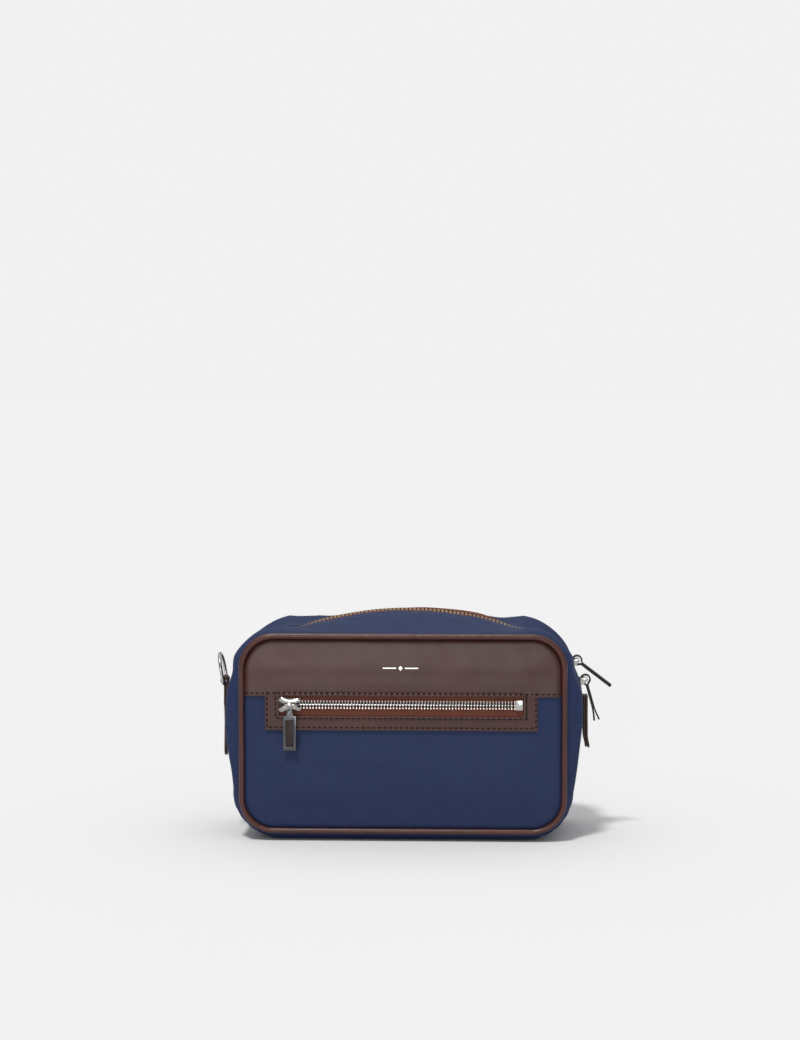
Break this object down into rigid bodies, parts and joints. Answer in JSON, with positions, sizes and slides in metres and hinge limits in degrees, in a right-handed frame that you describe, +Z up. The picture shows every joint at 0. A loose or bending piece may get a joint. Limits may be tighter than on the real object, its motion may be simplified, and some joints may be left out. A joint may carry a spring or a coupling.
{
  "type": "shaving kit bag",
  "caption": "Soft boxy wash bag with rounded corners, leather piping and yoke, a framed front zip pocket, a zipped arched mouth, leather zip tabs and a side carry ring.",
  "frame": {"origin": "centre of the flat resting face under the bag", "axes": "+X to the right seen from the front, +Y to the back, +Z up"},
  "size_m": [0.2777, 0.0948, 0.1564],
  "materials": {
    "body_fabric": "tight navy twill, slight sheen",
    "strip_fabric": "navy twill over foam",
    "yoke_leather": "smooth brown leather",
    "piping_leather": "glazed brown leather piping",
    "strap_leather": "very dark brown leather",
    "tab_leather": "smooth brown leather",
    "tape_weave": "brown woven zip tape",
    "teeth_metal": "polished nickel teeth",
    "slider_metal": "polished nickel",
    "pull_metal": "dark gunmetal",
    "ring_metal": "polished nickel",
    "lining_cloth": "plain woven lining",
    "binding_tape": "woven seam tape",
    "board": "stiffening board",
    "foil": "pressed pale foil"
  },
  "bodies": {
    "bag": {"front_panel": "body_fabric", "leather_yoke": "yoke_leather", "foil_ornament": "foil", "pocket_tape_upper": "tape_weave", "pocket_tape_lower": "tape_weave", "pocket_teeth_upper": "teeth_metal", "pocket_teeth_lower": "teeth_metal", "pocket_box_stop": "slider_metal", "pocket_top_stops": "slider_metal", "pocket_pouch": "lining_cloth", "back_panel": "body_fabric", "piping_front": "piping_leather", "piping_back": "piping_leather", "base_gusset": "body_fabric", "strip_front_left": "strip_fabric", "strip_front_right": "strip_fabric", "strip_back_left": "strip_fabric", "strip_back_right": "strip_fabric", "zip_tape_left": "tape_weave", "zip_tape_right": "tape_weave", "zip_teeth_left": "teeth_metal", "zip_teeth_right": "teeth_metal", "zip_end_stops": "teeth_metal", "lining_front": "lining_cloth", "lining_back": "lining_cloth", "lining_gusset": "lining_cloth", "lining_side_left": "lining_cloth", "lining_side_right": "lining_cloth", "base_board": "board", "binding_front": "binding_tape", "binding_back": "binding_tape", "slip_pocket": "lining_cloth", "d_ring_loop": "tab_leather", "end_tab_cap_right": "tab_leather"},
    "mouth_front": {"flap_front": "strip_fabric", "flap_tape_front": "tape_weave", "flap_teeth_front": "teeth_metal", "flap_lining_front": "lining_cloth"},
    "mouth_back": {"flap_back": "strip_fabric", "flap_tape_back": "tape_weave", "flap_teeth_back": "teeth_metal", "flap_lining_back": "lining_cloth"},
    "carry_ring": {"d_ring": "ring_metal"},
    "left_tab": {"end_tab_left": "tab_leather"},
    "right_tab": {"end_tab_right": "tab_leather"},
    "pocket_slider_body": {"pocket_slider": "slider_metal"},
    "pocket_link_body": {"pocket_link": "slider_metal"},
    "pocket_pull": {"pocket_pull_frame": "pull_metal", "pocket_pull_inlay": "strap_leather"},
    "upper_slider_body": {"upper_slider": "slider_metal", "upper_bail": "slider_metal"},
    "upper_pull": {"upper_strap": "strap_leather"},
    "lower_slider_body": {"lower_slider": "slider_metal", "lower_bail": "slider_metal"},
    "lower_pull": {"lower_strap": "strap_leather"}
  },
  "joints": [
    {"name": "mouth_front_open", "type": "hinge", "parent": "bag", "child": "mouth_front", "pos_m": [0, -0.0403, 0.1417], "axis": [1, 0, 0], "range_deg": [0, 60]},
    {"name": "mouth_back_open", "type": "hinge", "parent": "bag", "child": "mouth_back", "pos_m": [0, 0.0403, 0.1417], "axis": [-1, 0, 0], "range_deg": [0, 60]},
    {"name": "upper_slider_travel", "type": "hinge", "parent": "bag", "child": "upper_slider_body", "pos_m": [0.063, 0, 0.08697], "axis": [0, -1, 0], "range_deg": [0, 32]},
    {"name": "upper_pull_swing", "type": "hinge", "parent": "upper_slider_body", "child": "upper_pull", "pos_m": [0.12154, 0, 0.12076], "axis": [0, -1, 0], "range_deg": [0, 90]},
    {"name": "lower_slider_travel", "type": "hinge", "parent": "bag", "child": "lower_slider_body", "pos_m": [0.063, 0, 0.08697], "axis": [0, -1, 0], "range_deg": [-3.5, 0]},
    {"name": "lower_pull_swing", "type": "hinge", "parent": "lower_slider_body", "child": "lower_pull", "pos_m": [0.12747, 0, 0.10729], "axis": [0, -1, 0], "range_deg": [0, 52]},
    {"name": "pocket_slider_travel", "type": "slide", "parent": "bag", "child": "pocket_slider_body", "axis": [1, 0, 0], "range_m": [0, 0.1465]},
    {"name": "pocket_pull_lift", "type": "hinge", "parent": "pocket_slider_body", "child": "pocket_link_body", "pos_m": [-0.0773, -0.0482, 0.09475], "axis": [-1, 0, 0], "range_deg": [0, 150]},
    {"name": "pocket_pull_swing", "type": "hinge", "parent": "pocket_link_body", "child": "pocket_pull", "pos_m": [-0.0773, -0.0482, 0.09015], "axis": [0, 1, 0], "range_deg": [-55, 55]},
    {"name": "carry_ring_swing", "type": "hinge", "parent": "bag", "child": "carry_ring", "pos_m": [-0.1273, 0, 0.10597], "axis": [0, 1, 0], "range_deg": [-155, 44]},
    {"name": "left_tab_flex", "type": "hinge", "parent": "bag", "child": "left_tab", "pos_m": [-0.1275, 0, 0.08747], "axis": [0, 1, 0], "range_deg": [0, 25]},
    {"name": "right_tab_flex", "type": "hinge", "parent": "bag", "child": "right_tab", "pos_m": [0.1289, 0, 0.08396], "axis": [0, -1, 0], "range_deg": [0, 25]}
  ]
}
